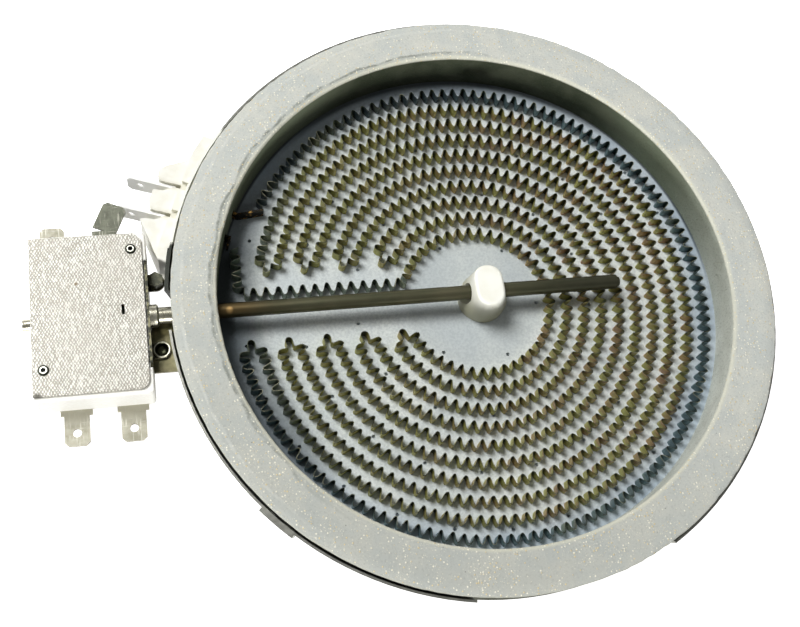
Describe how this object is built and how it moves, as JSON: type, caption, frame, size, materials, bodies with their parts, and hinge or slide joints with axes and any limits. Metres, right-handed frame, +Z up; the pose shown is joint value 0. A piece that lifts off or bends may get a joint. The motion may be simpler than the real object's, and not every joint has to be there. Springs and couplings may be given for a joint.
{
  "type": "ring heating element",
  "caption": "Round radiant hob heating element: corrugated ribbon on an insulating base in a steel pan, with a rod-type temperature limiter and a ceramic terminal block.",
  "frame": {"origin": "centre of the pan's flat underside, on the ring's axis", "axes": "+Z up, out of the pan towards the cooking surface; +X along the limiter's rod, away from its head; +Y sideways, with the terminal block on the +Y side of the head"},
  "size_m": [0.2032, 0.1661, 0.025],
  "materials": {
    "pan_steel": "thin aluminised sheet",
    "base_insulation": "fine-grained pressed insulation",
    "ring_insulation": "pressed mineral with golden flecks",
    "ribbon": "dark oxidised resistance alloy",
    "lead": "heat-tinted strip",
    "tab_metal": "nickel-plated",
    "dark_tab": "scratched nickel plate",
    "white_ceramic": "matt white steatite",
    "bead_ceramic": "warm white, slightly glazed",
    "cover_sheet": "silvery plate with a diamond woven imprint",
    "rod_steel": "brown heat-tinted tube",
    "inner_rod": "plain",
    "bright_steel": "plated",
    "spring_alloy": "spring strip"
  },
  "bodies": {
    "root": {"pan": "pan_steel", "insulating_base": "base_insulation", "insulating_ring": "ring_insulation", "heating_ribbon": "ribbon", "outer_lead": "lead", "inner_lead": "lead", "outer_blade": "tab_metal", "inner_blade": "tab_metal", "terminal_block": "white_ceramic", "terminal_block_rivet": "bright_steel", "limiter_tube": "rod_steel", "limiter_expansion_rod": "inner_rod", "limiter_end_plug": "rod_steel", "limiter_sleeve": "bright_steel", "limiter_ferrule": "bright_steel", "rod_support_bead": "bead_ceramic", "limiter_housing": "white_ceramic", "limiter_cover": "cover_sheet", "cover_rivets": "bright_steel", "adjusting_screw": "bright_steel", "front_left_tab": "tab_metal", "front_right_tab": "tab_metal", "back_left_tab": "tab_metal", "back_right_tab": "dark_tab", "switch_spring_a": "spring_alloy", "switch_spring_b": "spring_alloy", "switch_contacts": "bright_steel", "actuator_pin": "inner_rod", "link_pin": "inner_rod", "limiter_plate": "bright_steel", "limiter_bracket": "bright_steel", "hex_screw": "bright_steel", "clamp_rivet": "bright_steel"}
  },
  "joints": []
}
